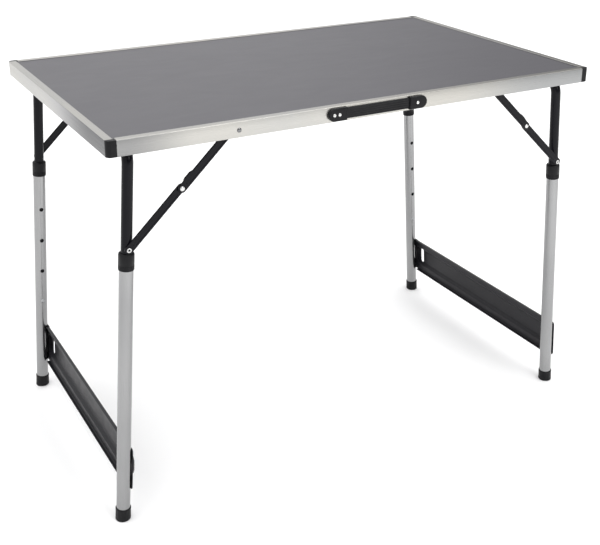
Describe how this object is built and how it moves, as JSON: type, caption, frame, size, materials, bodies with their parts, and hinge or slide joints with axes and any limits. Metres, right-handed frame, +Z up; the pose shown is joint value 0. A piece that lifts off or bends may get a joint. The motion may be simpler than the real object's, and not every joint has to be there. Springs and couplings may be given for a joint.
{
  "type": "folding table",
  "caption": "Light folding work table with an aluminium-edged top, a carrying handle, and height-adjustable folding leg pairs held open by jointed braces.",
  "frame": {"origin": "on the floor, under the middle of the top", "axes": "+Z up, +X to the right along the top's long side, the carrying handle faces -Y"},
  "size_m": [1.0323, 0.6095, 0.73],
  "materials": {
    "grey_laminate": "dark grey laminate with a fine stipple",
    "rail_aluminium": "satin anodised, lightly brushed along its length",
    "leg_aluminium": "satin anodised",
    "black_enamel": "gloss black enamel",
    "charcoal_enamel": "semi-gloss charcoal enamel",
    "black_plastic": "moulded, fine texture",
    "strap_plastic": "soft ribbed moulding",
    "foot_rubber": "moulded, matte",
    "rivet_steel": "bright zinc plated",
    "zinc_steel": "dull zinc plated",
    "spring_steel": "plain spring steel"
  },
  "bodies": {
    "tabletop": {"table_panel": "grey_laminate", "front_rail": "rail_aluminium", "back_rail": "rail_aluminium", "left_rail": "rail_aluminium", "right_rail": "rail_aluminium", "front_left_corner_cap": "black_plastic", "front_right_corner_cap": "black_plastic", "rear_left_corner_cap": "black_plastic", "rear_right_corner_cap": "black_plastic", "left_pivot_plate": "zinc_steel", "right_pivot_plate": "zinc_steel", "left_pivot_saddles": "black_plastic", "right_pivot_saddles": "black_plastic", "saddle_rivets": "zinc_steel", "rail_pivot_rivets": "rivet_steel", "rail_pivot_spacers": "zinc_steel", "handle_left_cap": "black_plastic", "handle_right_cap": "black_plastic", "handle_screws": "rivet_steel"},
    "carry_strap": {"handle_strap": "strap_plastic"},
    "left_leg_frame": {"left_frame_tube": "black_enamel", "left_tube_glides": "black_plastic", "left_snap_springs": "spring_steel", "left_leg_rivets": "rivet_steel"},
    "left_lower_legs": {"left_front_outer_tube": "leg_aluminium", "left_front_collar": "black_plastic", "left_front_foot": "foot_rubber", "left_rear_outer_tube": "leg_aluminium", "left_rear_collar": "black_plastic", "left_rear_foot": "foot_rubber", "left_crossbar": "charcoal_enamel", "left_crossbar_rivets": "rivet_steel"},
    "left_front_button": {"left_front_snap_button": "spring_steel"},
    "left_front_upper_brace": {"left_front_upper_link": "black_enamel", "left_front_elbow_rivet": "rivet_steel"},
    "left_front_lower_brace": {"left_front_lower_link": "black_enamel"},
    "left_rear_button": {"left_rear_snap_button": "spring_steel"},
    "left_rear_upper_brace": {"left_rear_upper_link": "black_enamel", "left_rear_elbow_rivet": "rivet_steel"},
    "left_rear_lower_brace": {"left_rear_lower_link": "black_enamel"},
    "right_leg_frame": {"right_frame_tube": "black_enamel", "right_tube_glides": "black_plastic", "right_snap_springs": "spring_steel", "right_leg_rivets": "rivet_steel"},
    "right_lower_legs": {"right_front_outer_tube": "leg_aluminium", "right_front_collar": "black_plastic", "right_front_foot": "foot_rubber", "right_rear_outer_tube": "leg_aluminium", "right_rear_collar": "black_plastic", "right_rear_foot": "foot_rubber", "right_crossbar": "charcoal_enamel", "right_crossbar_rivets": "rivet_steel"},
    "right_front_button": {"right_front_snap_button": "spring_steel"},
    "right_front_upper_brace": {"right_front_upper_link": "black_enamel", "right_front_elbow_rivet": "rivet_steel"},
    "right_front_lower_brace": {"right_front_lower_link": "black_enamel"},
    "right_rear_button": {"right_rear_snap_button": "spring_steel"},
    "right_rear_upper_brace": {"right_rear_upper_link": "black_enamel", "right_rear_elbow_rivet": "rivet_steel"},
    "right_rear_lower_brace": {"right_rear_lower_link": "black_enamel"}
  },
  "joints": [
    {"name": "left_fold", "type": "hinge", "parent": "tabletop", "child": "left_leg_frame", "pos_m": [-0.452, 0, 0.709], "axis": [0, -1, 0], "range_deg": [0, 84]},
    {"name": "left_extend", "type": "slide", "parent": "left_leg_frame", "child": "left_lower_legs", "axis": [0.0698, 0, 0.9976], "range_m": [-0.21, 0], "deforming": ["left_front_snap_button", "left_rear_snap_button"]},
    {"name": "left_front_press", "type": "slide", "parent": "left_leg_frame", "child": "left_front_button", "axis": [0, -1, 0], "range_m": [0, 0.003], "stiffness_N_per_m": 1500, "springref_m": -0.0005},
    {"name": "left_front_rail_pivot", "type": "hinge", "parent": "tabletop", "child": "left_front_upper_brace", "pos_m": [-0.272, -0.2726, 0.715], "axis": [0, -1, 0], "range_deg": [-40.11, 0]},
    {"name": "left_front_leg_pivot", "type": "hinge", "parent": "left_leg_frame", "child": "left_front_lower_brace", "pos_m": [-0.46456, -0.2726, 0.52944], "axis": [0, -1, 0], "range_deg": [0, 39.83]},
    {"name": "left_rear_press", "type": "slide", "parent": "left_leg_frame", "child": "left_rear_button", "axis": [0, 1, 0], "range_m": [0, 0.003], "stiffness_N_per_m": 1500, "springref_m": -0.0005},
    {"name": "left_rear_rail_pivot", "type": "hinge", "parent": "tabletop", "child": "left_rear_upper_brace", "pos_m": [-0.272, 0.2726, 0.715], "axis": [0, -1, 0], "range_deg": [-40.11, 0]},
    {"name": "left_rear_leg_pivot", "type": "hinge", "parent": "left_leg_frame", "child": "left_rear_lower_brace", "pos_m": [-0.46456, 0.2726, 0.52944], "axis": [0, -1, 0], "range_deg": [0, 39.83]},
    {"name": "right_fold", "type": "hinge", "parent": "tabletop", "child": "right_leg_frame", "pos_m": [0.452, 0, 0.709], "axis": [0, 1, 0], "range_deg": [0, 93.5]},
    {"name": "right_extend", "type": "slide", "parent": "right_leg_frame", "child": "right_lower_legs", "axis": [-0.0698, 0, 0.9976], "range_m": [-0.21, 0], "deforming": ["right_front_snap_button", "right_rear_snap_button"]},
    {"name": "right_front_press", "type": "slide", "parent": "right_leg_frame", "child": "right_front_button", "axis": [0, -1, 0], "range_m": [0, 0.003], "stiffness_N_per_m": 1500, "springref_m": -0.0005},
    {"name": "right_front_rail_pivot", "type": "hinge", "parent": "tabletop", "child": "right_front_upper_brace", "pos_m": [0.272, -0.2726, 0.715], "axis": [0, 1, 0], "range_deg": [-42.37, 0]},
    {"name": "right_front_leg_pivot", "type": "hinge", "parent": "right_leg_frame", "child": "right_front_lower_brace", "pos_m": [0.46456, -0.2726, 0.52944], "axis": [0, 1, 0], "range_deg": [0, 40.89]},
    {"name": "right_rear_press", "type": "slide", "parent": "right_leg_frame", "child": "right_rear_button", "axis": [0, 1, 0], "range_m": [0, 0.003], "stiffness_N_per_m": 1500, "springref_m": -0.0005},
    {"name": "right_rear_rail_pivot", "type": "hinge", "parent": "tabletop", "child": "right_rear_upper_brace", "pos_m": [0.272, 0.2726, 0.715], "axis": [0, 1, 0], "range_deg": [-42.37, 0]},
    {"name": "right_rear_leg_pivot", "type": "hinge", "parent": "right_leg_frame", "child": "right_rear_lower_brace", "pos_m": [0.46456, 0.2726, 0.52944], "axis": [0, 1, 0], "range_deg": [0, 40.89]},
    {"name": "strap_slide", "type": "slide", "parent": "tabletop", "child": "carry_strap", "axis": [1, 0, 0], "range_m": [-0.004, 0.004]}
  ],
  "couplings": [
    {"joint": "left_front_rail_pivot", "follows": "left_fold", "ratio": -0.47747},
    {"joint": "left_front_leg_pivot", "follows": "left_fold", "ratio": 0.47419},
    {"joint": "left_rear_rail_pivot", "follows": "left_fold", "ratio": -0.47747},
    {"joint": "left_rear_leg_pivot", "follows": "left_fold", "ratio": 0.47419},
    {"joint": "right_front_rail_pivot", "follows": "right_fold", "ratio": -0.45315},
    {"joint": "right_front_leg_pivot", "follows": "right_fold", "ratio": 0.43728},
    {"joint": "right_rear_rail_pivot", "follows": "right_fold", "ratio": -0.45315},
    {"joint": "right_rear_leg_pivot", "follows": "right_fold", "ratio": 0.43728}
  ]
}
